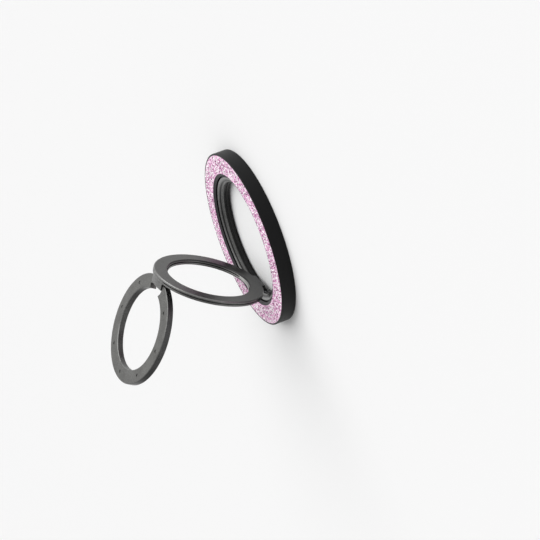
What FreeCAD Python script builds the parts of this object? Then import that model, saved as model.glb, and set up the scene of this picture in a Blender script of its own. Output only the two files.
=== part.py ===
import FreeCAD, Part
import math
import os

from FreeCAD import Vector

# Phone ring holder: a flat magnetic base with a turning ring in its middle, an arm ring hinged
# to that, and a leg ring hinged to the arm's far end.
# Lengths are in millimetres. The back face lies on z = 0, the base's axis is the z axis, and
# both hinge axes run along x, the arm's on the -y side. The arm and the leg are drawn folded
# flat into the base and are then turned to their rest angles.

# Casing. Radii follow from its outer one, inwards.
CASING_R = 28.4
CASING_WALL = 0.7
EDGE_BREAK = 0.15
PLATE_T = 1.0
HUB_WALL = 0.55
LIP_GAP = 0.3
LIP_W = 1.0
LIP_T = 0.85
LIP_LAND = 0.15
LIP_CHAMFER_H = 0.55

# Pad, cover and face on the casing
PAD_T = 0.3
PAD_INSET = 0.3
COVER_T = 0.8
FACE_T = 0.33
FACE_RIM = 0.4
FACE_RECESS = 0.35
SEAT_CLEARANCE = 0.03

# Magnets, the yoke over them and the tray round them
MAGNET_COUNT = 18
MAGNET_W = 4.3
MAGNET_WEB = 0.9
MAGNET_COVER_GAP = 0.1
YOKE_T = 0.5
TRAY_CLEARANCE = 0.05
TRAY_OUTER_RIM = 0.3
TRAY_INNER_RIM = 0.65

# Turning ring
SWIVEL_W = 2.0
SWIVEL_BACK_GAP = 0.15
SWIVEL_SINK = 0.85
SWIVEL_BEVEL_H = 0.95
SWIVEL_LAND = 0.35
SWIVEL_EDGE = 0.15
FLANGE_W = 1.1
FLANGE_T = 1.0
BORE_GROOVE_RISE = 1.3
BORE_GROOVE_W = 0.3
BORE_GROOVE_D = 0.2

# Rings that the turning ring runs against
GLIDE_T = 0.37
GLIDE_GAP = 0.03
FRICTION_T = 0.3
SPRING_T = 0.2
SPRING_H = 0.47
RUN_CLEARANCE = 0.1

# Arm ring and leg ring
RING_CLEARANCE = 0.9
ARM_W = 4.4
ARM_T = 1.6
ARM_CHAMFER = 0.28
ARM_BACK_EDGE = 0.1
ARM_LEDGE_W = 0.25
ARM_LEDGE_T = 0.75
ARM_GROOVE_W = 0.22
ARM_GROOVE_D = 0.15
LEG_W = 4.5
LEG_T = 2.1
LEG_CHAMFER = 0.18
STACK_GAP = 0.15

# Pins, bushes and washers of both hinges
PIN_R = 0.45
PIN_FIT = 0.01
PIN_RUN = 0.03
BUSH_T = 0.2
BUSH_SLIT = 0.25
WASHER_R = 0.8
WASHER_GAP = 0.02
HINGE_GAP = 0.35

# Arm's hinge: its axis lies outside the arm ring's edge and above its front face
ARM_HINGE_OUT = 0.5
ARM_HINGE_RISE = 0.25
ARM_BARREL_R = 1.0
ARM_TONGUE_HALF = 3.75
ARM_PIN_GRIP = 3.4
SLOT_CLEARANCE = 0.25
SADDLE_SIDE = 1.5
SADDLE_BACK = 0.6
SADDLE_RISE = 0.45

# Leg's hinge: its axis lies inside the leg ring's edge and above its middle
LEG_HINGE_IN = 1.6
LEG_HINGE_RISE = 0.25
LEG_LUG_HALF = 3.8
LEG_LUG_FRONT = 1.6
LEG_END_R = 1.3
LEG_TOE_IN = 1.9
LEG_TOE_L = 1.7
LEG_TOE_W = 1.25
LEG_PIN_GRIP = 1.65
LEG_NOTCH_CLEARANCE = 0.25

# Rest angles, measured from the folded state
ARM_OPEN = 64.0
LEG_OPEN = 100.0

# Dimples round the leg's face
DIMPLE_COUNT = 7
DIMPLE_R = 0.5
DIMPLE_DEPTH = 0.15
DIMPLE_PITCH = 45.0

# Radii, from the outside in
CASING_BORE_R = CASING_R - CASING_WALL
TRAY_OUTER_R = CASING_BORE_R - TRAY_CLEARANCE
MAGNET_OUTER_R = TRAY_OUTER_R - TRAY_OUTER_RIM
MAGNET_INNER_R = MAGNET_OUTER_R - MAGNET_W
TRAY_INNER_R = MAGNET_INNER_R - TRAY_INNER_RIM
HUB_OUTER_R = TRAY_INNER_R - TRAY_CLEARANCE
HUB_R = HUB_OUTER_R - HUB_WALL
FLANGE_R = HUB_R - RUN_CLEARANCE
SWIVEL_OUTER_R = FLANGE_R - FLANGE_W
SWIVEL_BORE_R = SWIVEL_OUTER_R - SWIVEL_W
LIP_R = SWIVEL_OUTER_R + LIP_GAP
FACE_INNER_R = LIP_R + LIP_W
RING_R = SWIVEL_BORE_R - RING_CLEARANCE
ARM_INNER_R = RING_R - ARM_W
ARM_LEDGE_R = ARM_INNER_R - ARM_LEDGE_W
LEG_INNER_R = RING_R - LEG_W
DIMPLE_RING_R = (RING_R + LEG_INNER_R) / 2
BUSH_OUTER_R = PIN_R + PIN_RUN + BUSH_T
BARREL_BORE_R = BUSH_OUTER_R + PIN_FIT

# Heights, from the phone's back up
CASING_BOTTOM_Z = PAD_T
COVER_TOP_Z = CASING_BOTTOM_Z + COVER_T
FLANGE_BOTTOM_Z = COVER_TOP_Z + GLIDE_T + GLIDE_GAP
FLANGE_TOP_Z = FLANGE_BOTTOM_Z + FLANGE_T
FRICTION_BOTTOM_Z = FLANGE_TOP_Z + GLIDE_GAP
SPRING_BOTTOM_Z = FRICTION_BOTTOM_Z + FRICTION_T
LIP_BOTTOM_Z = SPRING_BOTTOM_Z + SPRING_H
FACE_Z = LIP_BOTTOM_Z + LIP_T + LIP_CHAMFER_H
PLATE_TOP_Z = FACE_Z - FACE_RECESS
PLATE_BOTTOM_Z = PLATE_TOP_Z - PLATE_T
YOKE_BOTTOM_Z = PLATE_BOTTOM_Z - YOKE_T
MAGNET_BOTTOM_Z = COVER_TOP_Z + MAGNET_COVER_GAP
SWIVEL_BOTTOM_Z = PAD_T + SWIVEL_BACK_GAP
SWIVEL_TOP_Z = FACE_Z - SWIVEL_SINK
SWIVEL_BORE_TOP_Z = SWIVEL_TOP_Z - SWIVEL_BEVEL_H
BORE_GROOVE_Z = SWIVEL_BOTTOM_Z + BORE_GROOVE_RISE
ARM_BOTTOM_Z = SWIVEL_BOTTOM_Z
ARM_TOP_Z = ARM_BOTTOM_Z + ARM_T
LEG_BOTTOM_Z = ARM_TOP_Z + STACK_GAP
LEG_TOP_Z = LEG_BOTTOM_Z + LEG_T

# Hinge axes and the gaps that the hinges stand in
ARM_HINGE_Y = -(RING_R + ARM_HINGE_OUT)
ARM_HINGE_Z = ARM_TOP_Z + ARM_HINGE_RISE
LEG_HINGE_Y = RING_R - LEG_HINGE_IN
LEG_HINGE_Z = LEG_BOTTOM_Z + LEG_T / 2 + LEG_HINGE_RISE
SLOT_HALF = ARM_TONGUE_HALF + HINGE_GAP
SLOT_Y = ARM_HINGE_Y - ARM_BARREL_R - SLOT_CLEARANCE
ARM_PIN_HALF = SLOT_HALF + ARM_PIN_GRIP
SADDLE_HALF = SLOT_HALF + SADDLE_SIDE
SADDLE_Y = ARM_HINGE_Y - SADDLE_BACK
SADDLE_Z = ARM_HINGE_Z + SADDLE_RISE
LEG_GAP_HALF = LEG_LUG_HALF + HINGE_GAP
LEG_TOE_Y = LEG_HINGE_Y - LEG_TOE_IN
LEG_PIN_HALF = LEG_GAP_HALF + LEG_PIN_GRIP

X_AXIS = Vector(1, 0, 0)
Z_AXIS = Vector(0, 0, 1)


def turned(points):
    """Solid of revolution about z from a closed outline of (r, z) points."""
    outline = [Vector(r, 0, z) for r, z in points]
    face = Part.Face(Part.makePolygon(outline + outline[:1]))
    return face.revolve(Vector(0, 0, 0), Z_AXIS, 360)


def washer(inner_r, outer_r, bottom_z, top_z):
    """Flat ring about z."""
    return turned([(inner_r, bottom_z), (outer_r, bottom_z), (outer_r, top_z), (inner_r, top_z)])


def block(x0, x1, y0, y1, z0, z1):
    return Part.makeBox(x1 - x0, y1 - y0, z1 - z0, Vector(x0, y0, z0))


def rod(radius, x0, x1, y, z):
    """Round bar along x."""
    return Part.makeCylinder(radius, x1 - x0, Vector(x0, y, z), X_AXIS)


def tube(inner_r, outer_r, x0, x1, y, z):
    return rod(outer_r, x0, x1, y, z).cut(rod(inner_r, x0, x1, y, z))


def placed_on_arm(shape):
    """Turn a piece drawn folded to the arm's rest angle."""
    shape.rotate(Vector(0, ARM_HINGE_Y, ARM_HINGE_Z), X_AXIS, ARM_OPEN)
    return shape


def placed_on_leg(shape):
    """Turn a piece drawn folded to the leg's rest angle, then with the arm."""
    shape.rotate(Vector(0, LEG_HINGE_Y, LEG_HINGE_Z), X_AXIS, -LEG_OPEN)
    return placed_on_arm(shape)


# Casing: outer wall, front plate, inner hub and the bevelled lip that shows inside the face
def outer_casing():
    lip_top_r = FACE_INNER_R - SEAT_CLEARANCE
    return turned([
        (CASING_R, CASING_BOTTOM_Z),
        (CASING_R, FACE_Z - EDGE_BREAK),
        (CASING_R - EDGE_BREAK, FACE_Z),
        (CASING_R - FACE_RIM, FACE_Z),
        (CASING_R - FACE_RIM, PLATE_TOP_Z),
        (lip_top_r, PLATE_TOP_Z),
        (lip_top_r, FACE_Z),
        (lip_top_r - LIP_LAND, FACE_Z),
        (LIP_R, FACE_Z - LIP_CHAMFER_H),
        (LIP_R, LIP_BOTTOM_Z),
        (HUB_R, LIP_BOTTOM_Z),
        (HUB_R, COVER_TOP_Z),
        (HUB_OUTER_R, COVER_TOP_Z),
        (HUB_OUTER_R, PLATE_BOTTOM_Z),
        (CASING_BORE_R, PLATE_BOTTOM_Z),
        (CASING_BORE_R, CASING_BOTTOM_Z),
    ])


# Sparkling sheet laid into the front plate's recess
def glitter_face():
    outer_r = CASING_R - FACE_RIM - SEAT_CLEARANCE
    return washer(FACE_INNER_R, outer_r, PLATE_TOP_Z, PLATE_TOP_Z + FACE_T)


# Cover that closes the casing's back and holds the turning ring's flange in
def back_cover():
    return washer(LIP_R, CASING_BORE_R - SEAT_CLEARANCE, CASING_BOTTOM_Z, COVER_TOP_Z)


# Soft pad that meets the phone
def contact_pad():
    return washer(LIP_R + PAD_INSET, CASING_R - PAD_INSET, 0, PAD_T)


# Steel ring behind the magnets
def magnet_yoke():
    return washer(TRAY_INNER_R, TRAY_OUTER_R, YOKE_BOTTOM_Z, PLATE_BOTTOM_Z)


def magnet_sector(grow, bottom_z, top_z):
    """One arc magnet about +x, made larger all round by grow."""
    ring = washer(MAGNET_INNER_R - grow, MAGNET_OUTER_R + grow, bottom_z, top_z)
    half_angle = math.pi / MAGNET_COUNT
    half_web = MAGNET_WEB / 2 - grow
    side = Vector(-math.sin(half_angle), math.cos(half_angle), 0)
    along = Vector(math.cos(half_angle), math.sin(half_angle), 0)
    start = side * (-half_web)
    far = along * (2 * CASING_R)
    upper = [start, start + far, start + far - side * CASING_R, start - side * CASING_R]
    keep = Part.Face(Part.makePolygon(upper + upper[:1])).extrude(Z_AXIS * FACE_Z)
    mirrored = keep.mirror(Vector(0, 0, 0), Vector(0, 1, 0))
    return ring.common(keep).common(mirrored)


def round_the_ring(shape):
    """Copies of a piece at each magnet's place."""
    copies = []
    for index in range(MAGNET_COUNT):
        copy = shape.copy()
        copy.rotate(Vector(0, 0, 0), Z_AXIS, index * 360.0 / MAGNET_COUNT)
        copies.append(copy)
    return copies


def magnet_array():
    magnet = magnet_sector(0, MAGNET_BOTTOM_Z, YOKE_BOTTOM_Z)
    return Part.makeCompound(round_the_ring(magnet))


# Plastic ring that spaces the magnets
def magnet_tray():
    tray = washer(TRAY_INNER_R, TRAY_OUTER_R, COVER_TOP_Z, YOKE_BOTTOM_Z)
    pocket = magnet_sector(TRAY_CLEARANCE, MAGNET_BOTTOM_Z, YOKE_BOTTOM_Z)
    return tray.cut(Part.makeCompound(round_the_ring(pocket)))


# Turning ring, with the slot and pin hole of the arm's hinge. Behind the slot its top is cut
# lower, so that the leg's free end has room when the arm is raised with the leg folded on it.
def swivel_ring():
    groove_low = BORE_GROOVE_Z - BORE_GROOVE_W / 2
    groove_high = BORE_GROOVE_Z + BORE_GROOVE_W / 2
    ring = turned([
        (SWIVEL_BORE_R, SWIVEL_BOTTOM_Z),
        (SWIVEL_OUTER_R, SWIVEL_BOTTOM_Z),
        (SWIVEL_OUTER_R, FLANGE_BOTTOM_Z),
        (FLANGE_R, FLANGE_BOTTOM_Z),
        (FLANGE_R, FLANGE_TOP_Z),
        (SWIVEL_OUTER_R, FLANGE_TOP_Z),
        (SWIVEL_OUTER_R, SWIVEL_TOP_Z - SWIVEL_EDGE),
        (SWIVEL_OUTER_R - SWIVEL_EDGE, SWIVEL_TOP_Z),
        (SWIVEL_OUTER_R - SWIVEL_EDGE - SWIVEL_LAND, SWIVEL_TOP_Z),
        (SWIVEL_BORE_R, SWIVEL_BORE_TOP_Z),
        (SWIVEL_BORE_R, groove_high),
        (SWIVEL_BORE_R + BORE_GROOVE_D, groove_high),
        (SWIVEL_BORE_R + BORE_GROOVE_D, groove_low),
        (SWIVEL_BORE_R, groove_low),
    ])
    slot = block(-SLOT_HALF, SLOT_HALF, SLOT_Y, 0, 0, FACE_Z)
    saddle = block(-SADDLE_HALF, SADDLE_HALF, -FLANGE_R, SADDLE_Y, SADDLE_Z, FACE_Z)
    pin_hole = rod(PIN_R + PIN_FIT, -ARM_PIN_HALF - PIN_RUN, FLANGE_R, ARM_HINGE_Y, ARM_HINGE_Z)
    return ring.cut(slot).cut(saddle).cut(pin_hole)


# Rings that carry the turning ring: a glide ring under its flange, and above it a friction
# ring pressed down by a dished spring
def glide_ring():
    inner_r = SWIVEL_OUTER_R + RUN_CLEARANCE
    return washer(inner_r, FLANGE_R, COVER_TOP_Z, COVER_TOP_Z + GLIDE_T)


def friction_ring():
    inner_r = SWIVEL_OUTER_R + RUN_CLEARANCE
    return washer(inner_r, FLANGE_R, FRICTION_BOTTOM_Z, SPRING_BOTTOM_Z)


def spring_washer():
    inner_r = SWIVEL_OUTER_R + RUN_CLEARANCE
    return turned([
        (inner_r, SPRING_BOTTOM_Z),
        (FLANGE_R, LIP_BOTTOM_Z - SPRING_T),
        (FLANGE_R, LIP_BOTTOM_Z),
        (inner_r, SPRING_BOTTOM_Z + SPRING_T),
    ])


# Hinge pieces, each drawn along x at the hinge's own y and z
def hinge_pin(half_length, y, z):
    return rod(PIN_R, -half_length, half_length, y, z)


def hinge_bush(half_length, y, z):
    """Split sleeve that grips the pin."""
    sleeve = tube(PIN_R + PIN_RUN, BUSH_OUTER_R, -half_length, half_length, y, z)
    slit = block(-half_length, half_length, y - BUSH_SLIT / 2, y + BUSH_SLIT / 2, z, z + 2 * BUSH_OUTER_R)
    return sleeve.cut(slit)


def hinge_washers(knuckle_half, y, z):
    """Spring washers at the two ends of a knuckle."""
    near = knuckle_half + WASHER_GAP
    far = knuckle_half + HINGE_GAP - WASHER_GAP
    right = tube(PIN_R + PIN_RUN, WASHER_R, near, far, y, z)
    left = tube(PIN_R + PIN_RUN, WASHER_R, -far, -near, y, z)
    return Part.makeCompound([right, left])


# Arm ring, with the tongue of its own hinge and the lug of the leg's hinge
def arm_ring():
    middle_z = ARM_BOTTOM_Z + ARM_T / 2
    ring = turned([
        (ARM_INNER_R, ARM_BOTTOM_Z + ARM_CHAMFER),
        (ARM_INNER_R + ARM_CHAMFER, ARM_BOTTOM_Z),
        (RING_R - ARM_CHAMFER, ARM_BOTTOM_Z),
        (RING_R, ARM_BOTTOM_Z + ARM_CHAMFER),
        (RING_R, middle_z - ARM_GROOVE_W / 2),
        (RING_R - ARM_GROOVE_D, middle_z),
        (RING_R, middle_z + ARM_GROOVE_W / 2),
        (RING_R, ARM_TOP_Z - ARM_BACK_EDGE),
        (RING_R - ARM_BACK_EDGE, ARM_TOP_Z),
        (ARM_LEDGE_R + ARM_BACK_EDGE, ARM_TOP_Z),
        (ARM_LEDGE_R, ARM_TOP_Z - ARM_BACK_EDGE),
        (ARM_LEDGE_R, ARM_TOP_Z - ARM_LEDGE_T),
        (ARM_INNER_R, ARM_TOP_Z - ARM_LEDGE_T),
    ])
    half = ARM_TONGUE_HALF
    barrel = rod(ARM_BARREL_R, -half, half, ARM_HINGE_Y, ARM_HINGE_Z)
    tongue_end_y = -(RING_R + ARM_INNER_R) / 2
    tongue = block(-half, half, ARM_HINGE_Y, tongue_end_y, ARM_BOTTOM_Z, ARM_TOP_Z)
    lug = leg_lug()
    arm = ring.fuse([barrel, tongue, lug]).removeSplitter()
    for y, z in ((ARM_HINGE_Y, ARM_HINGE_Z), (LEG_HINGE_Y, LEG_HINGE_Z)):
        arm = arm.cut(rod(BARREL_BORE_R, -RING_R, RING_R, y, z))
    return arm


def leg_lug():
    """Piece of a ring on the arm's far end, flush with its edge, that the leg's pin runs in."""
    bottom_z = ARM_TOP_Z - ARM_BACK_EDGE
    inner_r = LEG_HINGE_Y - LEG_LUG_FRONT
    ring = turned([
        (inner_r, bottom_z),
        (RING_R, bottom_z),
        (RING_R, LEG_TOP_Z - LEG_CHAMFER),
        (RING_R - LEG_CHAMFER, LEG_TOP_Z),
        (inner_r + LEG_CHAMFER, LEG_TOP_Z),
        (inner_r, LEG_TOP_Z - LEG_CHAMFER),
    ])
    return ring.common(block(-LEG_LUG_HALF, LEG_LUG_HALF, 0, RING_R, bottom_z, LEG_TOP_Z))


# Leg ring, cut open where the lug stands and rounded off at its two ends. A notch under its
# free end clears the arm's barrel when the rings are folded together.
def leg_ring():
    ring = turned([
        (LEG_INNER_R, LEG_BOTTOM_Z + LEG_CHAMFER),
        (LEG_INNER_R + LEG_CHAMFER, LEG_BOTTOM_Z),
        (RING_R - LEG_CHAMFER, LEG_BOTTOM_Z),
        (RING_R, LEG_BOTTOM_Z + LEG_CHAMFER),
        (RING_R, LEG_TOP_Z - LEG_CHAMFER),
        (RING_R - LEG_CHAMFER, LEG_TOP_Z),
        (LEG_INNER_R + LEG_CHAMFER, LEG_TOP_Z),
        (LEG_INNER_R, LEG_TOP_Z - LEG_CHAMFER),
    ])
    gap = block(-LEG_GAP_HALF, LEG_GAP_HALF, LEG_TOE_Y, 2 * RING_R, 0, 2 * LEG_TOP_Z)
    beyond_hinge = block(-RING_R, RING_R, LEG_HINGE_Y, 2 * RING_R, 0, 2 * LEG_TOP_Z)
    rounded = beyond_hinge.cut(rod(LEG_END_R, -RING_R, RING_R, LEG_HINGE_Y, LEG_HINGE_Z))
    notch_r = ARM_BARREL_R + LEG_NOTCH_CLEARANCE
    notch = rod(notch_r, -SLOT_HALF, SLOT_HALF, ARM_HINGE_Y, ARM_HINGE_Z)
    pin_hole = rod(PIN_R + PIN_FIT, -LEG_PIN_HALF - PIN_RUN, RING_R, LEG_HINGE_Y, LEG_HINGE_Z)
    opened = ring.cut(gap).cut(toe_gap()).cut(rounded).cut(notch).cut(pin_hole)
    return opened.cut(Part.makeCompound(dimples()))


def toe_gap():
    """Wedge that narrows the gap towards the leg's inner edge, so each end has a slanted toe."""
    outline = [
        Vector(-LEG_GAP_HALF, LEG_TOE_Y, 0),
        Vector(LEG_GAP_HALF, LEG_TOE_Y, 0),
        Vector(LEG_GAP_HALF - LEG_TOE_W, LEG_TOE_Y - LEG_TOE_L, 0),
        Vector(LEG_TOE_W - LEG_GAP_HALF, LEG_TOE_Y - LEG_TOE_L, 0),
    ]
    return Part.Face(Part.makePolygon(outline + outline[:1])).extrude(Z_AXIS * 2 * LEG_TOP_Z)


def dimples():
    """Shallow round marks at equal steps, none at the hinge."""
    marks = []
    for index in range(DIMPLE_COUNT):
        angle = math.radians(90 + DIMPLE_PITCH * (index + 1))
        centre = Vector(
            DIMPLE_RING_R * math.cos(angle),
            DIMPLE_RING_R * math.sin(angle),
            LEG_TOP_Z - DIMPLE_DEPTH,
        )
        marks.append(Part.makeCylinder(DIMPLE_R, 2 * DIMPLE_DEPTH, centre, Z_AXIS))
    return marks


NODES = {
    "outer_casing": outer_casing(),
    "glitter_face": glitter_face(),
    "back_cover": back_cover(),
    "contact_pad": contact_pad(),
    "magnet_yoke": magnet_yoke(),
    "magnet_tray": magnet_tray(),
    "magnet_array": magnet_array(),
    "glide_ring": glide_ring(),
    "friction_ring": friction_ring(),
    "spring_washer": spring_washer(),
    "swivel_ring": swivel_ring(),
    "arm_hinge_pin": hinge_pin(ARM_PIN_HALF, ARM_HINGE_Y, ARM_HINGE_Z),
    "arm_hinge_washers": hinge_washers(ARM_TONGUE_HALF, ARM_HINGE_Y, ARM_HINGE_Z),
    "arm_hinge_bush": placed_on_arm(hinge_bush(ARM_TONGUE_HALF, ARM_HINGE_Y, ARM_HINGE_Z)),
    "arm_ring": placed_on_arm(arm_ring()),
    "leg_hinge_bush": placed_on_arm(hinge_bush(LEG_LUG_HALF, LEG_HINGE_Y, LEG_HINGE_Z)),
    "leg_hinge_washers": placed_on_arm(hinge_washers(LEG_LUG_HALF, LEG_HINGE_Y, LEG_HINGE_Z)),
    "leg_hinge_pin": placed_on_leg(hinge_pin(LEG_PIN_HALF, LEG_HINGE_Y, LEG_HINGE_Z)),
    "leg_ring": placed_on_leg(leg_ring()),
}

os.makedirs("parts", exist_ok=True)
for name, shape in NODES.items():
    shape.exportStep("parts/" + name + ".step")
    print(name, len(shape.Solids), shape.isValid(), round(shape.Volume, 3))
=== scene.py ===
import math

import bpy
from mathutils import Matrix, Vector


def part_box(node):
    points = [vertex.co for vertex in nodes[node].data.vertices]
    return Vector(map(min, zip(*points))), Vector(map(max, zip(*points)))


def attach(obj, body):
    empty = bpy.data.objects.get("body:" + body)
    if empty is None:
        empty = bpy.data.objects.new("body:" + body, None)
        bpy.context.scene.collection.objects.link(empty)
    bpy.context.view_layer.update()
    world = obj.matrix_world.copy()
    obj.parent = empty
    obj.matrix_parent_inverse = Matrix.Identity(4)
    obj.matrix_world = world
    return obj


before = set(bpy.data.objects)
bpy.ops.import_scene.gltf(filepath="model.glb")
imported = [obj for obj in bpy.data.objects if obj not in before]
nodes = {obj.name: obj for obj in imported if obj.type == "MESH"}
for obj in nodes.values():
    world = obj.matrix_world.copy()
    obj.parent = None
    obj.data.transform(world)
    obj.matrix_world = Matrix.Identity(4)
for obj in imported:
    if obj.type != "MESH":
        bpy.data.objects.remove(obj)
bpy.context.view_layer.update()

# Outer casing
# The real one is injection moulded in black ABS from a spark-eroded mould. It carries everything
# else: the back cover is welded into it and the glitter sheet is stuck in its front recess.
MM = 0.001
IN_PLAN = (1.0, 1.0, 0.0)
CASING_GRAIN = 0.22 * MM
CASING_DENT = 0.03 * MM
CASING_CLOUD = 9 * MM
LIP_FACES_IN = -0.35
LIP_FULLY_IN = -0.5
LIP_FACES_UP = 0.5
LIP_FULLY_UP = 0.7
LIP_SHEEN_TONE = "#38383a"


def colour(code):
    """Linear RGBA of an sRGB hex code."""
    parts = [int(code[i:i + 2], 16) / 255 for i in (1, 3, 5)]
    linear = [p / 12.92 if p <= 0.04045 else ((p + 0.055) / 1.055) ** 2.4 for p in parts]
    return (*linear, 1.0)


def add(tree, kind, inputs=None, stops=(), **settings):
    """Node with its settings, its inputs set to values or linked from sockets, and its ramp."""
    node = tree.nodes.new(kind)
    for name, value in settings.items():
        setattr(node, name, value)
    for name, value in (inputs or {}).items():
        if isinstance(value, bpy.types.NodeSocket):
            tree.links.new(value, node.inputs[name])
        else:
            node.inputs[name].default_value = value
    for _ in stops[2:]:
        node.color_ramp.elements.new(1.0)
    for number, (stop, code) in enumerate(stops):
        node.color_ramp.elements[number].position = stop
        node.color_ramp.elements[number].color = colour(code)
    return node


def new_finish(name, **values):
    """Material with its tree, its shader with the given values, and the object's coordinates."""
    material = bpy.data.materials.new(name)
    material.use_nodes = True
    tree = material.node_tree
    shader = tree.nodes["Principled BSDF"]
    for socket, value in values.items():
        shader.inputs[socket.replace("_", " ")].default_value = value
    place = add(tree, "ShaderNodeTexCoord").outputs["Object"]
    return material, tree, shader, place


def coat_node(name, material):
    """Give a solid of the frame its finish."""
    nodes[name].material_slots[0].material = material


# Spark-eroded ABS looks near black with a soft even sheen, and a fine sandy grain breaks it up.
# The grain of a real mould is about 0.1 mm, drawn here at about twice that. The lip's bevel is
# painted paler than the rest, as a painted sheen for the light it catches.
black_abs, tree, shader, place = new_finish("black_abs_spark_eroded", Specular_IOR_Level=0.16)
normal = place.node.outputs["Normal"]
cloud = add(tree, "ShaderNodeTexNoise", {"Vector": place, "Scale": 1 / CASING_CLOUD, "Detail": 3.0})
shade = add(tree, "ShaderNodeValToRGB", {"Fac": cloud.outputs["Fac"]}, (
    (0.0, "#080809"), (1.0, "#101011"),
))
level = add(tree, "ShaderNodeVectorMath", {0: place, 1: IN_PLAN}, operation="MULTIPLY")
outward = add(tree, "ShaderNodeVectorMath", {0: level.outputs["Vector"]}, operation="NORMALIZE")
facing = add(tree, "ShaderNodeVectorMath", {
    0: outward.outputs["Vector"], 1: normal,
}, operation="DOT_PRODUCT")
inward = add(tree, "ShaderNodeMapRange", {
    "Value": facing.outputs["Value"], "From Min": LIP_FACES_IN, "From Max": LIP_FULLY_IN,
})
rise = add(tree, "ShaderNodeSeparateXYZ", {"Vector": normal}).outputs["Z"]
upward = add(tree, "ShaderNodeMapRange", {
    "Value": rise, "From Min": LIP_FACES_UP, "From Max": LIP_FULLY_UP,
})
# The lip faces inward and up, and is painted paler there as painted sheen.
on_lip = add(tree, "ShaderNodeMath", {
    0: inward.outputs["Result"], 1: upward.outputs["Result"],
}, operation="MULTIPLY")
with_lip_sheen = add(tree, "ShaderNodeMix", {
    0: on_lip.outputs["Value"], 6: shade.outputs["Color"], 7: colour(LIP_SHEEN_TONE),
}, data_type="RGBA")
tree.links.new(with_lip_sheen.outputs[2], shader.inputs["Base Color"])
gloss = add(tree, "ShaderNodeMapRange", {
    "Value": cloud.outputs["Fac"], "To Min": 0.42, "To Max": 0.54,
})
tree.links.new(gloss.outputs["Result"], shader.inputs["Roughness"])
grain = add(tree, "ShaderNodeTexNoise", {"Vector": place, "Scale": 1 / CASING_GRAIN, "Detail": 2.0})
bump = add(tree, "ShaderNodeBump", {
    "Height": grain.outputs["Fac"], "Strength": 0.35, "Distance": CASING_DENT,
})
tree.links.new(bump.outputs["Normal"], shader.inputs["Normal"])
coat_node("outer_casing", black_abs)

# Back cover and contact pad
# The cover is a flat ring of the same black ABS, welded into the casing's back. The pad is die
# cut from black silicone sheet and bonded over it.
PAD_GRAIN = 0.35 * MM
PAD_DENT = 0.03 * MM

coat_node("back_cover", black_abs)


def mottle(tree, shader, place, size, dark, pale, **noise):
    """Colour the shader by noise of a size, from its dark tone to its pale one."""
    spots = add(tree, "ShaderNodeTexNoise", {"Vector": place, "Scale": 1 / size, **noise}).outputs["Fac"]
    shade = add(tree, "ShaderNodeValToRGB", {"Fac": spots}, ((0.0, dark), (1.0, pale)))
    tree.links.new(shade.outputs["Color"], shader.inputs["Base Color"])
    return spots


# Silicone sheet is matte and a shade paler than the ABS, with a faint dusty bloom at its edges.
# Its fine cloth-pressed grain is drawn coarser than the real 0.1 mm.
silicone, tree, shader, place = new_finish(
    "black_silicone_sheet", Roughness=0.72, Specular_IOR_Level=0.35, Sheen_Weight=0.15,
)
weft = mottle(tree, shader, place, PAD_GRAIN, "#1b1b1c", "#2a2a2b", Detail=4.0)
bump = add(tree, "ShaderNodeBump", {"Height": weft, "Strength": 0.3, "Distance": PAD_DENT})
tree.links.new(bump.outputs["Normal"], shader.inputs["Normal"])
coat_node("contact_pad", silicone)

# Magnets, yoke and tray
# Eighteen nickel plated arc magnets sit in a grey moulded tray under a yoke of plain sheet steel.
# They are closed in by the casing and the cover, and show only when it is taken apart.
ROLLING_STREAK = 0.25 * MM
ROLLED_ALONG_Y = (1.0, 0.05, 1.0)

# Barrel nickel plate is bright and a little warm, with faint specks.
nickel, tree, shader, place = new_finish("nickel_plate", Metallic=1.0, Roughness=0.22)
mottle(tree, shader, place, CASING_GRAIN, "#b5b1a8", "#cfccc4")
coat_node("magnet_array", nickel)

# Cold rolled steel is mid grey and streaked one way by the rollers.
sheet_steel, tree, shader, place = new_finish("rolled_sheet_steel", Metallic=1.0)
drawn_out = add(tree, "ShaderNodeMapping", {"Vector": place, "Scale": ROLLED_ALONG_Y}).outputs["Vector"]
streak = mottle(tree, shader, drawn_out, ROLLING_STREAK, "#8d8e8f", "#a9aaab")
gloss = add(tree, "ShaderNodeMapRange", {"Value": streak, "To Min": 0.28, "To Max": 0.42})
tree.links.new(gloss.outputs["Result"], shader.inputs["Roughness"])
coat_node("magnet_yoke", sheet_steel)

# Grey moulded ABS is plain and slightly mottled, with a half gloss from a milled mould.
grey_abs, tree, shader, place = new_finish("grey_abs_moulded", Roughness=0.5)
mottle(tree, shader, place, CASING_GRAIN, "#38393b", "#444548", Detail=2.0)
coat_node("magnet_tray", grey_abs)

# Glide ring, friction ring and spring
# The turning ring's flange runs on a white acetal ring, and a grey fibre ring is pressed onto it
# from above by a dished ring of blued spring steel. They show only as thin lines in the gaps.
FIBRE = 0.3 * MM

# Acetal is milky white and waxy, barely clouded.
acetal, tree, shader, place = new_finish("white_acetal", Roughness=0.38)
mottle(tree, shader, place, CASING_CLOUD, "#dfded8", "#ebeae6")
coat_node("glide_ring", acetal)

# Fibre sheet is dull grey with tangled paler strands, drawn coarser than the real ones.
fibre_sheet, tree, shader, place = new_finish("grey_fibre_sheet", Roughness=0.8)
mottle(tree, shader, place, FIBRE, "#4a4a48", "#727270", Detail=5.0, Distortion=1.5)
coat_node("friction_ring", fibre_sheet)

# Blued spring steel is a dark slate blue that drifts paler where the temper was hotter.
spring_steel, tree, shader, place = new_finish("blued_spring_steel", Metallic=1.0, Roughness=0.3)
mottle(tree, shader, place, CASING_CLOUD, "#4d525c", "#6a6d74")
coat_node("spring_washer", spring_steel)

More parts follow.
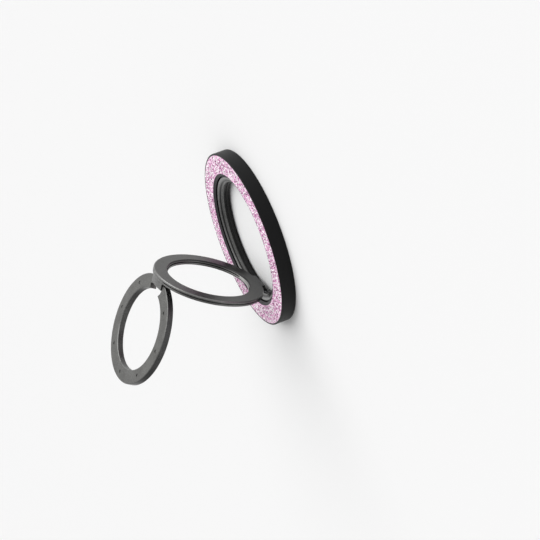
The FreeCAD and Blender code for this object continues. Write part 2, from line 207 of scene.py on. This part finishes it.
# Glitter face
# A sheet of polyester glitter film laid into the casing's recess: hexagonal flakes of pale pink
# and rose foil, each lying askew, over a pink backing that shows between them.
FACE_OUTER_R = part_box("glitter_face")[1].x
FACE_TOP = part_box("glitter_face")[1].z
FACE_INNER_R = 21.9 * MM
FACE_STEPS = 180
FILM_BORDER = 0.15 * MM
FILM_DENT = 0.05 * MM
FILM_EDGE_TONE = "#101011"
FLAKE_SIDES = 6
FLAKE_R = 0.23 * MM
FLAKE_T = 0.02 * MM
FLAKE_LEAST = 0.75
FLAKE_MOST = 1.15
FLAKE_SPACING = 0.33 * MM
FLAKE_DENSITY = 3e7
FLAKE_TILT = math.radians(30)
FLAKE_LIFT = 0.06 * MM
FLAKE_EDGE = 0.42 * MM
FLAKE_PATCH = 1.6 * MM
FLAKE_SEED = 7
TINT_LEAST = -0.85
TINT_MOST = 1.45
FLAKE_TINTS_AND_GLINTS = (
    (0.0, "#983e80"),
    (0.2, "#e696ce"),
    (0.4, "#ffc0ea"),
    (0.6, "#ffd4f2"),
    (0.8, "#ffe8f9"),
    (1.0, "#ffffff"),
)

# The backing is a dull pink foil, broken up by the edges of flakes that lie deeper in the film.
# Its cut edge is left black, which widens the dark line of the casing's rim.
backing, tree, shader, place = new_finish("pink_glitter_backing", Metallic=0.12, Roughness=0.4)
cells = add(tree, "ShaderNodeTexVoronoi", {"Vector": place, "Scale": 1 / FLAKE_SPACING})
pick = add(tree, "ShaderNodeSeparateColor", {"Color": cells.outputs["Color"]})
# The cells take the flakes' tints, which are partly painted glint and painted shade.
shade = add(tree, "ShaderNodeValToRGB", {"Fac": pick.outputs["Red"]}, FLAKE_TINTS_AND_GLINTS)
level = add(tree, "ShaderNodeVectorMath", {0: place, 1: IN_PLAN}, operation="MULTIPLY")
radius = add(tree, "ShaderNodeVectorMath", {0: level.outputs["Vector"]}, operation="LENGTH")
at_rim = add(tree, "ShaderNodeMath", {
    0: radius.outputs["Value"], 1: FACE_OUTER_R - FILM_BORDER,
}, operation="GREATER_THAN")
bordered = add(tree, "ShaderNodeMix", {
    0: at_rim.outputs["Value"], 6: shade.outputs["Color"], 7: colour(FILM_EDGE_TONE),
}, data_type="RGBA")
tree.links.new(bordered.outputs[2], shader.inputs["Base Color"])
bump = add(tree, "ShaderNodeBump", {
    "Height": pick.outputs["Green"], "Strength": 0.5, "Distance": FILM_DENT,
})
tree.links.new(bump.outputs["Normal"], shader.inputs["Normal"])
coat_node("glitter_face", backing)

# Each flake is coated foil in its own tint, from deep rose to nearly white. The spread is partly
# real tint and partly painted glint and painted shade, so that the face sparkles and no two spots
# match. Real flakes are 0.2 mm wide, and these are a little over twice that so that they show.
foil, tree, shader, _ = new_finish("pink_glitter_foil", Metallic=0.12, Roughness=0.32)
tint = add(tree, "ShaderNodeAttribute", attribute_name="tint")
shade = add(tree, "ShaderNodeValToRGB", {"Fac": tint.outputs["Fac"]}, FLAKE_TINTS_AND_GLINTS)
tree.links.new(shade.outputs["Color"], shader.inputs["Base Color"])

flake_tree = bpy.data.node_groups.new("glitter_flakes", "GeometryNodeTree")
flake_sizes = {
    "Outer radius": FACE_OUTER_R - FLAKE_EDGE,
    "Inner radius": FACE_INNER_R + FLAKE_EDGE,
    "Height": FACE_TOP + FLAKE_LIFT,
    "Flake radius": FLAKE_R,
    "Flake thickness": FLAKE_T,
    "Spacing": FLAKE_SPACING,
    "Tilt": FLAKE_TILT,
}
sockets = flake_tree.interface
for name in flake_sizes:
    sockets.new_socket(name, in_out="INPUT", socket_type="NodeSocketFloat")
sockets.new_socket("Geometry", in_out="OUTPUT", socket_type="NodeSocketGeometry")
size = add(flake_tree, "NodeGroupInput").outputs
outer = add(flake_tree, "GeometryNodeCurvePrimitiveCircle", {
    "Resolution": FACE_STEPS, "Radius": size["Outer radius"],
})
inner = add(flake_tree, "GeometryNodeCurvePrimitiveCircle", {
    "Resolution": FACE_STEPS, "Radius": size["Inner radius"],
})
rims = add(flake_tree, "GeometryNodeJoinGeometry", {"Geometry": outer.outputs["Curve"]})
flake_tree.links.new(inner.outputs["Curve"], rims.inputs["Geometry"])
face = add(flake_tree, "GeometryNodeFillCurve", {"Curve": rims.outputs["Geometry"]})
lift = add(flake_tree, "ShaderNodeCombineXYZ", {"Z": size["Height"]})
raised = add(flake_tree, "GeometryNodeTransform", {
    "Geometry": face.outputs["Mesh"], "Translation": lift.outputs["Vector"],
})
points = add(flake_tree, "GeometryNodeDistributePointsOnFaces", {
    "Mesh": raised.outputs["Geometry"], "Distance Min": size["Spacing"],
    "Density Max": FLAKE_DENSITY, "Seed": FLAKE_SEED,
}, distribute_method="POISSON")
flake = add(flake_tree, "GeometryNodeMeshCylinder", {
    "Vertices": FLAKE_SIDES, "Radius": size["Flake radius"], "Depth": size["Flake thickness"],
}, fill_type="NGON")
down = add(flake_tree, "ShaderNodeMath", {0: size["Tilt"], 1: -1.0}, operation="MULTIPLY")
low = add(flake_tree, "ShaderNodeCombineXYZ", {
    "X": down.outputs["Value"], "Y": down.outputs["Value"],
})
high = add(flake_tree, "ShaderNodeCombineXYZ", {
    "X": size["Tilt"], "Y": size["Tilt"], "Z": math.tau,
})
askew = add(flake_tree, "FunctionNodeRandomValue", {
    "Min": low.outputs["Vector"], "Max": high.outputs["Vector"], "Seed": FLAKE_SEED + 1,
}, data_type="FLOAT_VECTOR")
bulk = add(flake_tree, "FunctionNodeRandomValue", {
    "Min": FLAKE_LEAST, "Max": FLAKE_MOST, "Seed": FLAKE_SEED + 2,
}, data_type="FLOAT")
laid = add(flake_tree, "GeometryNodeInstanceOnPoints", {
    "Points": points.outputs["Points"], "Instance": flake.outputs["Mesh"],
    "Rotation": askew.outputs["Value"], "Scale": bulk.outputs[1],
})
chance = add(flake_tree, "FunctionNodeRandomValue", {
    "Min": TINT_LEAST, "Max": TINT_MOST, "Seed": FLAKE_SEED + 3,
}, data_type="FLOAT")
patch = add(flake_tree, "ShaderNodeTexNoise", {"Scale": 1 / FLAKE_PATCH})
tone = add(flake_tree, "ShaderNodeMath", {
    0: chance.outputs[1], 1: patch.outputs["Fac"],
}, operation="ADD")
tinted = add(flake_tree, "GeometryNodeStoreNamedAttribute", {
    "Geometry": laid.outputs["Instances"], "Name": "tint", "Value": tone.outputs["Value"],
}, data_type="FLOAT", domain="INSTANCE")
real = add(flake_tree, "GeometryNodeRealizeInstances", {"Geometry": tinted.outputs["Geometry"]})
finished = add(flake_tree, "GeometryNodeSetMaterial", {
    "Geometry": real.outputs["Geometry"], "Material": foil,
})
add(flake_tree, "NodeGroupOutput", {"Geometry": finished.outputs["Geometry"]})

flakes = bpy.data.objects.new("glitter_flakes", bpy.data.meshes.new("glitter_flakes"))
bpy.context.scene.collection.objects.link(flakes)
layer = flakes.modifiers.new("flakes", "NODES")
layer.node_group = flake_tree
for item in sockets.items_tree:
    if item.in_out == "INPUT":
        layer[item.identifier] = flake_sizes[item.name]
made = flakes.evaluated_get(bpy.context.evaluated_depsgraph_get())
flakes.data = bpy.data.meshes.new_from_object(made)
flakes.modifiers.remove(layer)
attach(flakes, "base")

# Turning ring, arm ring and leg ring
# Die cast in zinc alloy, tumbled, bead blasted and plated gunmetal. The arm is pinned to the
# turning ring at one side and to the leg at the other.
BLAST_GRAIN = 0.35 * MM
BLAST_DENT = 0.02 * MM
PLATING_CLOUD = 4 * MM
TURN_BLEND = 0.15
GRAIN_WEIGHT = 2.0
PATCH_LOW = 1.1
PATCH_HIGH = 1.9
PATCH_DEPTH = 0.26
HINGE_SIDE_SHADE = 0.55
ARM_OPEN = 64
LEG_OPEN = 100
ARM_LEAN = Matrix.Rotation(math.radians(ARM_OPEN), 3, "X")
LEG_LEAN = Matrix.Rotation(math.radians(ARM_OPEN - LEG_OPEN), 3, "X")
NO_PALE_END = Vector((0, 0, 0))
# The tone stops are painted light: walls darker and bevels paler than the faces.
RINGS = {
    "swivel_ring": {
        "axis": Vector((0, 0, 1)),
        "pale_end": NO_PALE_END,
        "outside": (
            (0.0, "#2b2b2b"), (0.5, "#2c2c2c"), (0.62, "#8a8a88"), (0.8, "#8a8a88"), (0.97, "#6c6c6b"),
        ),
        "inside": (
            (0.0, "#9c9c9b"), (0.12, "#8c8c8b"), (0.24, "#6c6c6b"), (0.3, "#2a2a2a"),
            (0.37, "#2a2a2a"), (0.45, "#6e6e6d"), (0.6, "#6a6a69"), (0.67, "#1e1e1e"),
            (0.76, "#343434"), (1.0, "#222222"),
        ),
    },
    "arm_ring": {
        "axis": ARM_LEAN @ Vector((0, 0, 1)),
        "pale_end": ARM_LEAN @ Vector((0, 1, 0)),
        "outside": (
            (0.0, "#727271"), (0.4, "#727271"), (0.55, "#7c7c7b"), (0.85, "#7c7c7b"), (0.95, "#525251"),
        ),
        "inside": (
            (0.0, "#525252"), (0.4, "#525252"), (0.55, "#424242"), (0.85, "#424242"), (0.95, "#575756"),
        ),
    },
    "leg_ring": {
        "axis": LEG_LEAN @ Vector((0, 0, 1)),
        "pale_end": NO_PALE_END,
        "outside": (
            (0.0, "#4a4a4a"), (0.4, "#4e4e4e"), (0.55, "#727271"), (0.85, "#727271"), (0.95, "#626260"),
        ),
        "inside": (
            (0.0, "#525251"), (0.4, "#525251"), (0.55, "#787877"), (0.85, "#787877"), (0.95, "#626260"),
        ),
    },
}


def gunmetal(name, axis, pale_end, outside, inside):
    """Plating with painted reflections: tones that follow how squarely the metal faces along the ring's
    axis.
    """
    material, tree, shader, place = new_finish("gunmetal_plate_" + name, Metallic=1.0)
    normal = place.node.outputs["Normal"]
    along = add(tree, "ShaderNodeVectorMath", {0: normal, 1: axis}, operation="DOT_PRODUCT")
    square = add(tree, "ShaderNodeMath", {0: along.outputs["Value"]}, operation="ABSOLUTE")
    outside_tone = add(tree, "ShaderNodeValToRGB", {"Fac": square.outputs["Value"]}, outside)
    inside_tone = add(
        tree, "ShaderNodeValToRGB", {"Fac": square.outputs["Value"]}, inside, name="inside tone",
    )
    low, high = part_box(name)
    reach = add(tree, "ShaderNodeVectorMath", {0: place, 1: (low + high) / 2}, operation="SUBTRACT")
    outward = add(tree, "ShaderNodeVectorMath", {0: reach.outputs["Vector"]}, operation="NORMALIZE")
    facing = add(tree, "ShaderNodeVectorMath", {
        0: outward.outputs["Vector"], 1: normal,
    }, operation="DOT_PRODUCT")
    turned_out = add(tree, "ShaderNodeMapRange", {
        "Value": facing.outputs["Value"], "From Min": -TURN_BLEND, "From Max": TURN_BLEND,
    })
    shade = add(tree, "ShaderNodeMix", {
        0: turned_out.outputs["Result"], 6: inside_tone.outputs["Color"],
        7: outside_tone.outputs["Color"],
    }, data_type="RGBA")
    cloud = add(tree, "ShaderNodeTexNoise", {
        "Vector": place, "Scale": 1 / PLATING_CLOUD, "Detail": 3.0,
    })
    grain = add(tree, "ShaderNodeTexNoise", {
        "Vector": place, "Scale": 1 / BLAST_GRAIN, "Detail": 2.0,
    })
    both = add(tree, "ShaderNodeMath", {
        0: grain.outputs["Fac"], 1: GRAIN_WEIGHT, 2: cloud.outputs["Fac"],
    }, operation="MULTIPLY_ADD")
    patch = add(tree, "ShaderNodeMapRange", {
        "Value": both.outputs["Value"], "From Min": PATCH_LOW, "From Max": PATCH_HIGH,
        "To Min": 1.0 - PATCH_DEPTH, "To Max": 1.0 + PATCH_DEPTH,
    })
    # The arm is painted darker towards its hinge on the turning ring: painted shade.
    from_end = add(tree, "ShaderNodeVectorMath", {
        0: outward.outputs["Vector"], 1: pale_end,
    }, operation="DOT_PRODUCT")
    hinge_shade = add(tree, "ShaderNodeMapRange", {
        "Value": from_end.outputs["Value"], "From Min": -1.0, "From Max": 0.0, "To Min": HINGE_SIDE_SHADE,
        "To Max": 1.0,
    })
    strength = add(tree, "ShaderNodeMath", {
        0: hinge_shade.outputs["Result"], 1: patch.outputs["Result"],
    }, operation="MULTIPLY")
    tinted = add(tree, "ShaderNodeVectorMath", {
        0: shade.outputs[2], "Scale": strength.outputs["Value"],
    }, operation="SCALE", name="plating and painted light")
    tree.links.new(tinted.outputs["Vector"], shader.inputs["Base Color"])
    gloss = add(tree, "ShaderNodeMapRange", {
        "Value": cloud.outputs["Fac"], "To Min": 0.28, "To Max": 0.4,
    })
    tree.links.new(gloss.outputs["Result"], shader.inputs["Roughness"])
    bump = add(tree, "ShaderNodeBump", {
        "Height": grain.outputs["Fac"], "Strength": 0.4, "Distance": BLAST_DENT,
    })
    tree.links.new(bump.outputs["Normal"], shader.inputs["Normal"])
    return material


# Plated and blasted zinc is a dark, faintly warm grey with soft reflections. Its tones are painted
# by how squarely the metal faces along the ring's axis: walls painted darker and bevels paler, as
# painted reflections and painted highlights, and the inner walls in a painted tone of their own.
# The arm is painted darker towards its hinge on the turning ring, as painted shade. Real bead marks
# are about 0.1 mm, drawn here at 0.35 mm so that they show.
for name, tones in RINGS.items():
    coat_node(name, gunmetal(name, **tones))

# The turning ring's top and bore carry painted reflections: paler and darker bands round them,
# with the deep bore painted dark as painted shade. They follow the profile, from its outer edge
# over the bevel and down the bore.
TURNING_R = 20.6 * MM
TURNING_TOP = 3.85 * MM
PROFILE_LENGTH = 5.4 * MM
PROFILE_START = TURNING_R + TURNING_TOP
PROFILE_END = PROFILE_START - PROFILE_LENGTH

tree = nodes["swivel_ring"].material_slots[0].material.node_tree
place = tree.nodes["Texture Coordinate"].outputs["Object"]
level = add(tree, "ShaderNodeVectorMath", {0: place, 1: IN_PLAN}, operation="MULTIPLY")
radius = add(tree, "ShaderNodeVectorMath", {0: level.outputs["Vector"]}, operation="LENGTH")
height = add(tree, "ShaderNodeSeparateXYZ", {"Vector": place}).outputs["Z"]
left = add(tree, "ShaderNodeMath", {0: radius.outputs["Value"], 1: height}, operation="ADD")
cut = add(tree, "ShaderNodeMapRange", {
    "Value": left.outputs["Value"], "From Min": PROFILE_START, "From Max": PROFILE_END,
})
tree.links.new(cut.outputs["Result"], tree.nodes["inside tone"].inputs["Fac"])

# A narrow ledge stands proud in the arm's bore, and a paler band is painted on it as a painted
# highlight, brightest beside the hinge. The band is drawn a little wider than the real 0.65 mm so
# that it shows.
ARM_AXIS = RINGS["arm_ring"]["axis"]
ARM_PIN_OUT = 18.2 * MM
ARM_PIN_UP = 2.3 * MM
ARM_PIN = Vector((0, -ARM_PIN_OUT, ARM_PIN_UP))
ARM_CENTRE = ARM_PIN + ARM_LEAN @ Vector((0, ARM_PIN_OUT, 0))
BORE_REACH = 13.4 * MM
LEDGE_UNDER_PIN = 1.0 * MM
LEDGE_HALF = 0.4 * MM
LEDGE_FADE = 0.06 * MM
GLEAM_START = 8.5 * MM
GLEAM_FULL = 11 * MM
GLEAM_LEAST = 0.4
LEDGE_HIGHLIGHT_TONE = "#a8a8a6"

tree = nodes["arm_ring"].material_slots[0].material.node_tree
place = tree.nodes["Texture Coordinate"].outputs["Object"]
reach = add(tree, "ShaderNodeVectorMath", {0: place, 1: ARM_CENTRE}, operation="SUBTRACT")
lengthways = add(tree, "ShaderNodeVectorMath", {
    0: reach.outputs["Vector"], 1: ARM_AXIS,
}, operation="PROJECT")
sideways = add(tree, "ShaderNodeVectorMath", {
    0: reach.outputs["Vector"], 1: lengthways.outputs["Vector"],
}, operation="SUBTRACT")
radius = add(tree, "ShaderNodeVectorMath", {0: sideways.outputs["Vector"]}, operation="LENGTH")
in_bore = add(tree, "ShaderNodeMath", {
    0: radius.outputs["Value"], 1: BORE_REACH,
}, operation="LESS_THAN")
height = add(tree, "ShaderNodeVectorMath", {
    0: reach.outputs["Vector"], 1: ARM_AXIS,
}, operation="DOT_PRODUCT")
above = add(tree, "ShaderNodeMath", {
    0: height.outputs["Value"], 1: LEDGE_UNDER_PIN,
}, operation="ADD")
away = add(tree, "ShaderNodeMath", {0: above.outputs["Value"]}, operation="ABSOLUTE")
band = add(tree, "ShaderNodeMapRange", {
    "Value": away.outputs["Value"], "From Min": LEDGE_HALF + LEDGE_FADE,
    "From Max": LEDGE_HALF - LEDGE_FADE,
})
to_hinge = add(tree, "ShaderNodeVectorMath", {
    0: reach.outputs["Vector"], 1: ARM_LEAN @ Vector((0, -1, 0)),
}, operation="DOT_PRODUCT")
gleam_fade = add(tree, "ShaderNodeMapRange", {
    "Value": to_hinge.outputs["Value"], "From Min": GLEAM_START, "From Max": GLEAM_FULL,
    "To Min": GLEAM_LEAST, "To Max": 1.0,
})
bright = add(tree, "ShaderNodeMath", {
    0: band.outputs["Result"], 1: gleam_fade.outputs["Result"],
}, operation="MULTIPLY")
on_ledge = add(tree, "ShaderNodeMath", {
    0: bright.outputs["Value"], 1: in_bore.outputs["Value"],
}, operation="MULTIPLY")
highlighted = add(tree, "ShaderNodeMix", {
    0: on_ledge.outputs["Value"], 6: tree.nodes["plating and painted light"].outputs["Vector"], 7: colour(LEDGE_HIGHLIGHT_TONE),
}, data_type="RGBA")

# The groove round the arm's edge is painted nearly black, as painted shade in the crease. Its line
# is drawn a little wider than the real 0.22 mm so that it shows.
GROOVE_UNDER_PIN = 1.05 * MM
GROOVE_HALF = 0.14 * MM
GROOVE_FADE = 0.04 * MM
LUG_HALF = 4 * MM
GROOVE_SHADE_TONE = "#1c1c1c"

above = add(tree, "ShaderNodeMath", {
    0: height.outputs["Value"], 1: GROOVE_UNDER_PIN,
}, operation="ADD")
away = add(tree, "ShaderNodeMath", {0: above.outputs["Value"]}, operation="ABSOLUTE")
line = add(tree, "ShaderNodeMapRange", {
    "Value": away.outputs["Value"], "From Min": GROOVE_HALF + GROOVE_FADE,
    "From Max": GROOVE_HALF - GROOVE_FADE,
})
beside = add(tree, "ShaderNodeSeparateXYZ", {"Vector": place}).outputs["X"]
aside = add(tree, "ShaderNodeMath", {0: beside}, operation="ABSOLUTE")
past_lug = add(tree, "ShaderNodeMath", {
    0: aside.outputs["Value"], 1: LUG_HALF,
}, operation="GREATER_THAN")
shaded = add(tree, "ShaderNodeMath", {
    0: line.outputs["Result"], 1: past_lug.outputs["Value"],
}, operation="MULTIPLY")
groove_shaded = add(tree, "ShaderNodeMix", {
    0: shaded.outputs["Value"], 6: highlighted.outputs[2], 7: colour(GROOVE_SHADE_TONE),
}, data_type="RGBA")
tree.links.new(groove_shaded.outputs[2], tree.nodes["Principled BSDF"].inputs["Base Color"])

# The walls of the leg's two ends in its gap are painted paler, as a painted highlight.
GAP_REACH = 4.7 * MM
END_WALL_START = 0.45
END_WALL_FULL = 0.6
END_WALL_GLEAM_TONE = "#8a8a88"

tree = nodes["leg_ring"].material_slots[0].material.node_tree
place = tree.nodes["Texture Coordinate"].outputs["Object"]
beside = add(tree, "ShaderNodeSeparateXYZ", {"Vector": place}).outputs["X"]
aside = add(tree, "ShaderNodeMath", {0: beside}, operation="ABSOLUTE")
in_gap = add(tree, "ShaderNodeMath", {0: aside.outputs["Value"], 1: GAP_REACH}, operation="LESS_THAN")
normal = tree.nodes["Texture Coordinate"].outputs["Normal"]
across = add(tree, "ShaderNodeSeparateXYZ", {"Vector": normal}).outputs["X"]
square = add(tree, "ShaderNodeMath", {0: across}, operation="ABSOLUTE")
end_wall = add(tree, "ShaderNodeMapRange", {
    "Value": square.outputs["Value"], "From Min": END_WALL_START, "From Max": END_WALL_FULL,
})
end_gleam = add(tree, "ShaderNodeMath", {
    0: in_gap.outputs["Value"], 1: end_wall.outputs["Result"],
}, operation="MULTIPLY")
end_gleamed = add(tree, "ShaderNodeMix", {
    0: end_gleam.outputs["Value"], 6: tree.nodes["plating and painted light"].outputs["Vector"], 7: colour(END_WALL_GLEAM_TONE),
}, data_type="RGBA")
tree.links.new(end_gleamed.outputs[2], tree.nodes["Principled BSDF"].inputs["Base Color"])

# Hinge pins, washers and bushes
# Ground steel pins turn in split brass bushes, with a spring steel washer at each end of a
# knuckle. The rims of the washers show as thin bright rings in the hinge gaps.
GRINDING_LINE = 0.06 * MM
ROUND_THE_PIN = (1.0, 0.1, 0.1)

# Ground steel is bright, with fine rings round the pin.
ground_steel, tree, shader, place = new_finish("ground_steel", Metallic=1.0, Roughness=0.25)
drawn_out = add(tree, "ShaderNodeMapping", {"Vector": place, "Scale": ROUND_THE_PIN}).outputs["Vector"]
mottle(tree, shader, drawn_out, GRINDING_LINE, "#77787a", "#97989a")
for name in ("arm_hinge_pin", "leg_hinge_pin", "arm_hinge_washers", "leg_hinge_washers"):
    coat_node(name, ground_steel)

# Plain brass is yellow and slightly dulled in clouds.
brass, tree, shader, place = new_finish("plain_brass", Metallic=1.0, Roughness=0.3)
mottle(tree, shader, place, PLATING_CLOUD, "#a98443", "#c9a660")
for name in ("arm_hinge_bush", "leg_hinge_bush"):
    coat_node(name, brass)

# Floor, light and camera
# The holder lies on its back on a white acrylic sheet. A large soft lamp stands over the +y side.
# The room round it is plain and white, and metal sees it darker on the +x side.
FLOOR_HALF = 10.0
FLOOR_TONE = "#efefef"
LAMP_ANGLE = math.radians(75)
LAMP_STRENGTH = 2.5
LAMP_FROM = Vector((-0.25, 0.7, 0.7))
ROOM_LIGHT = 0.55
ROOM_PALE_SIDE = Vector((-0.94, 0.1, -0.32))
ROOM_DARK_TO = -0.1
ROOM_PALE_FROM = 0.5
ROOM_DARKEST = 0.45
ROOM_TONE = "#ffffff"
CAMERA_AIM = Vector((6.42, -9.97, -0.24)) * MM
CAMERA_DISTANCE = 476.97 * MM
CAMERA_AZIMUTH = math.radians(32.46)
CAMERA_HEIGHT = math.radians(15.665)
CAMERA_ROLL = math.radians(-110.9)
CAMERA_LENS = 101.37
CAMERA_SENSOR = 36.0
CAMERA_NEAR = 0.01
CAMERA_FAR = 50.0

floor_mesh = bpy.data.meshes.new("floor")
corners = [(-FLOOR_HALF, -FLOOR_HALF, 0), (FLOOR_HALF, -FLOOR_HALF, 0)]
corners += [(FLOOR_HALF, FLOOR_HALF, 0), (-FLOOR_HALF, FLOOR_HALF, 0)]
floor_mesh.from_pydata(corners, [], [(0, 1, 2, 3)])
floor = bpy.data.objects.new("floor", floor_mesh)
bpy.context.scene.collection.objects.link(floor)

# Frosted acrylic is white and nearly matte, so it keeps the holder's soft shadow and doesn't glare.
acrylic, tree, shader, _ = new_finish(
    "white_frosted_acrylic", Base_Color=colour(FLOOR_TONE), Roughness=0.8, Specular_IOR_Level=0.1,
)
floor_mesh.materials.append(acrylic)

# The room's light is weaker than the white that the camera sees, so that the lamp's shadow stays.
world = bpy.data.worlds.new("pale_room")
world.use_nodes = True
bpy.context.scene.world = world
tree = world.node_tree
seen = add(tree, "ShaderNodeLightPath").outputs
towards = add(tree, "ShaderNodeTexCoord").outputs["Generated"]
paleness = add(tree, "ShaderNodeVectorMath", {0: towards, 1: ROOM_PALE_SIDE}, operation="DOT_PRODUCT")
mirrored = add(tree, "ShaderNodeMapRange", {
    "Value": paleness.outputs["Value"], "From Min": ROOM_DARK_TO, "From Max": ROOM_PALE_FROM,
    "To Min": ROOM_DARKEST, "To Max": 1.0,
})
direct = add(tree, "ShaderNodeMath", {
    0: seen["Is Camera Ray"], 1: seen["Is Transmission Ray"],
}, operation="MAXIMUM")
lit = add(tree, "ShaderNodeMapRange", {
    "Value": direct.outputs["Value"], "To Min": ROOM_LIGHT, "To Max": 1.0,
})
strength = add(tree, "ShaderNodeMix", {
    0: seen["Is Glossy Ray"], 2: lit.outputs["Result"], 3: mirrored.outputs["Result"],
}, data_type="FLOAT")
tree.links.new(strength.outputs[0], tree.nodes["Background"].inputs["Strength"])
tree.nodes["Background"].inputs["Color"].default_value = colour(ROOM_TONE)

lamp_data = bpy.data.lights.new("soft_lamp", "SUN")
lamp_data.angle = LAMP_ANGLE
lamp_data.energy = LAMP_STRENGTH
lamp = bpy.data.objects.new("soft_lamp", lamp_data)
lamp.rotation_euler = LAMP_FROM.to_track_quat("Z", "Y").to_euler()
bpy.context.scene.collection.objects.link(lamp)

# The camera's place, lens and roll were solved from the outlines in the photograph.
camera_data = bpy.data.cameras.new("camera")
camera_data.lens = CAMERA_LENS
camera_data.sensor_width = CAMERA_SENSOR
camera_data.clip_start = CAMERA_NEAR
camera_data.clip_end = CAMERA_FAR
camera = bpy.data.objects.new("camera", camera_data)
swing = Matrix.Rotation(CAMERA_AZIMUTH + math.pi / 2, 4, "Z")
tip = Matrix.Rotation(math.pi / 2 - CAMERA_HEIGHT, 4, "X")
roll = Matrix.Rotation(CAMERA_ROLL, 4, "Z")
back_off = Matrix.Translation((0, 0, CAMERA_DISTANCE))
camera.matrix_world = Matrix.Translation(CAMERA_AIM) @ swing @ tip @ back_off @ roll
bpy.context.scene.collection.objects.link(camera)
bpy.context.scene.camera = camera
bpy.context.scene.view_settings.view_transform = "Standard"
